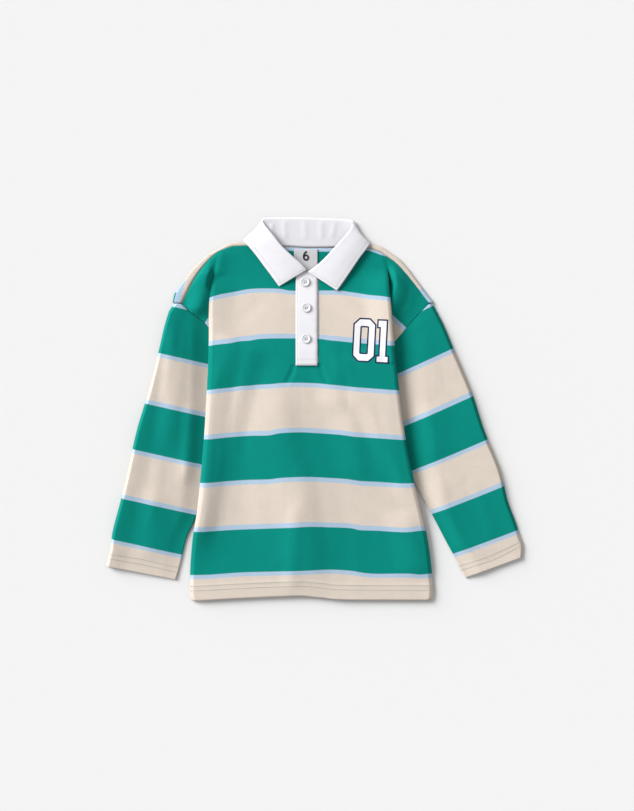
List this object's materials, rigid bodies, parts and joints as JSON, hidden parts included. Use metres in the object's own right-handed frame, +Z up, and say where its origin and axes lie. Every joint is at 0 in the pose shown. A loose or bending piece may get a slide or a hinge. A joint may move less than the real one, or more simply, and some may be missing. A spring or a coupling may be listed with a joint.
{
  "type": "rugby shirt",
  "caption": "Child's long-sleeved striped rugby shirt laid out flat on its back, with a white twill collar, buttoned placket, turned hem and cuffs.",
  "frame": {"origin": "on the ground, under the middle of the laid-out garment's box", "axes": "+X across the garment to the viewer's right, cuff to cuff; +Y from the hem to the collar; +Z up from the ground"},
  "size_m": [0.5922, 0.5438, 0.013],
  "materials": {
    "striped_jersey": "green and beige striped cotton jersey",
    "white_twill": "white cotton twill",
    "button_plastic": "white, softly polished",
    "label_satin": "grey satin ribbon"
  },
  "bodies": {
    "root": {"back_panel": "striped_jersey", "front_panel": "striped_jersey", "sleeve_left": "striped_jersey", "sleeve_right": "striped_jersey", "collar": "white_twill", "placket_under": "white_twill", "placket_top": "white_twill", "button_1": "button_plastic", "button_2": "button_plastic", "button_3": "button_plastic", "neck_label": "label_satin"}
  },
  "joints": []
}
